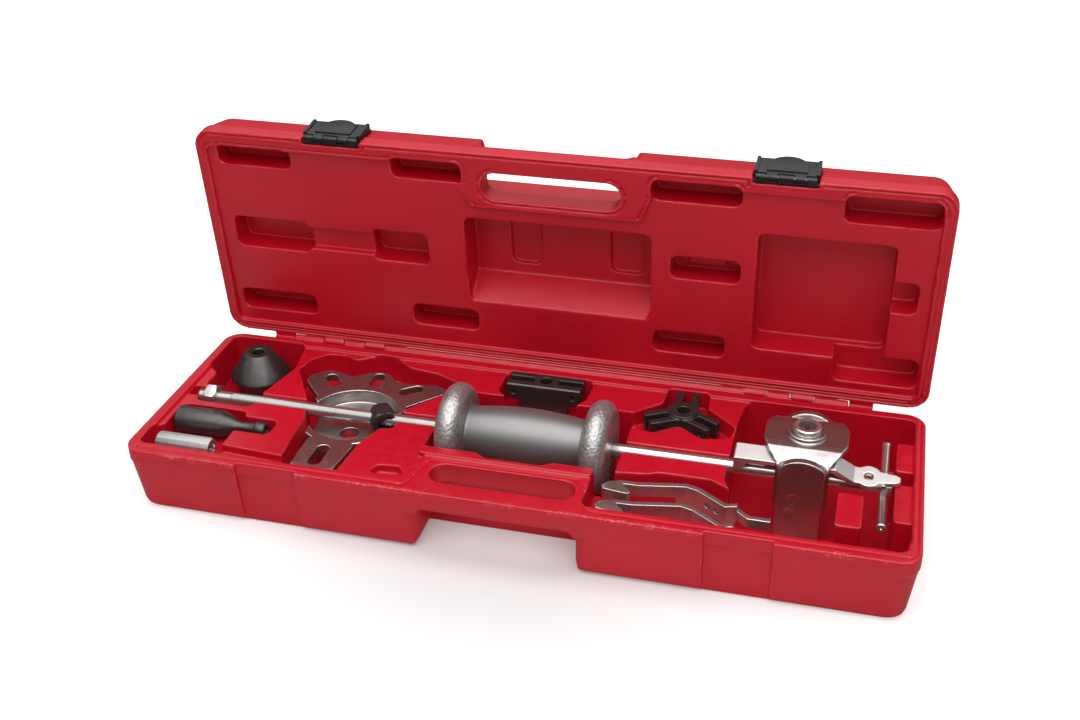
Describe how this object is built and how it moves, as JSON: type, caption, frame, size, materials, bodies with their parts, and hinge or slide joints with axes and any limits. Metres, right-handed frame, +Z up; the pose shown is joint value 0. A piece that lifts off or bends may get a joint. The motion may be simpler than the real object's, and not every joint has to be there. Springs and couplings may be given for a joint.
{
  "type": "slide hammer puller",
  "caption": "Slide hammer puller kit: sliding weight on a long rod with cross handle, bridge yoke, lever, jaws, cone, couplings and flange plate, lying in a hinged moulded case with latches.",
  "frame": {"origin": "middle of the flat foot of the case, on the floor", "axes": "+X along the case to the right as seen from the front, +Y from the handle side to the hinge side, +Z up"},
  "size_m": [0.703, 0.2758, 0.3035],
  "materials": {
    "case_red": "satin moulded",
    "latch_black": "satin moulded",
    "bright_chrome": "bright plated",
    "pin_steel": "plain drawn",
    "hammertone": "hammertone paint, smooth on the grip",
    "black_oxide": "black oxide, lightly oiled",
    "plated_casting": "plated over a rough casting"
  },
  "bodies": {
    "base": {"case_base": "case_red", "hinge_pin_left": "pin_steel", "hinge_pin_right": "pin_steel"},
    "lid": {"case_lid": "case_red", "latch_base_left": "latch_black", "latch_base_right": "latch_black", "latch_pin_left": "pin_steel", "latch_pin_right": "pin_steel"},
    "flap_left": {"latch_flap_left": "latch_black"},
    "flap_right": {"latch_flap_right": "latch_black"},
    "puller": {"slide_rod": "bright_chrome"},
    "weight": {"hammer_weight": "hammertone"},
    "nut": {"lock_nut": "bright_chrome"},
    "handle": {"cross_handle": "bright_chrome"},
    "adapter": {"cross_adapter": "black_oxide"},
    "yoke": {"bridge_yoke": "plated_casting", "yoke_bush": "bright_chrome"},
    "lever": {"hook_lever": "bright_chrome"},
    "plate": {"flange_plate": "plated_casting"},
    "cone": {"pulling_cone": "black_oxide"},
    "taper": {"taper_adapter": "black_oxide"},
    "coupling": {"long_coupling": "bright_chrome"},
    "two_jaw": {"two_jaw_crosshead": "black_oxide"},
    "three_jaw": {"three_jaw_crosshead": "black_oxide"},
    "back_jaw": {"jaw_back": "bright_chrome"},
    "front_jaw": {"jaw_front": "bright_chrome"}
  },
  "joints": [
    {"name": "lid_hinge", "type": "hinge", "parent": "base", "child": "lid", "pos_m": [0, 0.117, 0.067], "axis": [-1, 0, 0], "range_deg": [-84, 0]},
    {"name": "latch_left", "type": "hinge", "parent": "lid", "child": "flap_left", "pos_m": [-0.21181, 0.09644, 0.29611], "axis": [-1, 0, 0], "range_deg": [-180, 0]},
    {"name": "latch_right", "type": "hinge", "parent": "lid", "child": "flap_right", "pos_m": [0.20619, 0.09644, 0.29611], "axis": [-1, 0, 0], "range_deg": [-180, 0]},
    {"name": "puller_lift", "type": "slide", "parent": "base", "child": "puller", "axis": [0, 0, 1], "range_m": [0, 0.16]},
    {"name": "weight_slide", "type": "slide", "parent": "puller", "child": "weight", "axis": [1, 0, 0], "range_m": [-0.004, 0.008]},
    {"name": "nut_spin", "type": "hinge", "parent": "puller", "child": "nut", "pos_m": [-0.3168, 0.002, 0.059], "axis": [1, 0, 0], "continuous": true},
    {"name": "handle_slide", "type": "slide", "parent": "puller", "child": "handle", "axis": [0, 1, 0], "range_m": [-0.02, 0.02]},
    {"name": "adapter_slide", "type": "slide", "parent": "puller", "child": "adapter", "axis": [1, 0, 0], "range_m": [-0.03, 0]},
    {"name": "yoke_lift", "type": "slide", "parent": "puller", "child": "yoke", "axis": [0, 0, 1], "range_m": [0, 0.1]},
    {"name": "lever_slide", "type": "slide", "parent": "puller", "child": "lever", "axis": [1, 0, 0], "range_m": [-0.002, 0.004]},
    {"name": "plate_lift", "type": "slide", "parent": "base", "child": "plate", "axis": [0, 0, 1], "range_m": [0, 0.08]},
    {"name": "cone_lift", "type": "slide", "parent": "base", "child": "cone", "axis": [0, 0, 1], "range_m": [0, 0.05]},
    {"name": "taper_adapter_lift", "type": "slide", "parent": "base", "child": "taper", "axis": [0, 0, 1], "range_m": [0, 0.05]},
    {"name": "coupling_lift", "type": "slide", "parent": "base", "child": "coupling", "axis": [0, 0, 1], "range_m": [0, 0.06]},
    {"name": "two_jaw_lift", "type": "slide", "parent": "base", "child": "two_jaw", "axis": [0, 0, 1], "range_m": [0, 0.06]},
    {"name": "three_jaw_lift", "type": "slide", "parent": "base", "child": "three_jaw", "axis": [0, 0, 1], "range_m": [0, 0.045]},
    {"name": "jaw_back_lift", "type": "slide", "parent": "base", "child": "back_jaw", "axis": [0, 0, 1], "range_m": [0, 0.06]},
    {"name": "jaw_front_lift", "type": "slide", "parent": "base", "child": "front_jaw", "axis": [0, 0, 1], "range_m": [0, 0.05]}
  ],
  "couplings": [
    {"joint": "plate_lift", "follows": "puller_lift", "ratio": 0.5}
  ]
}
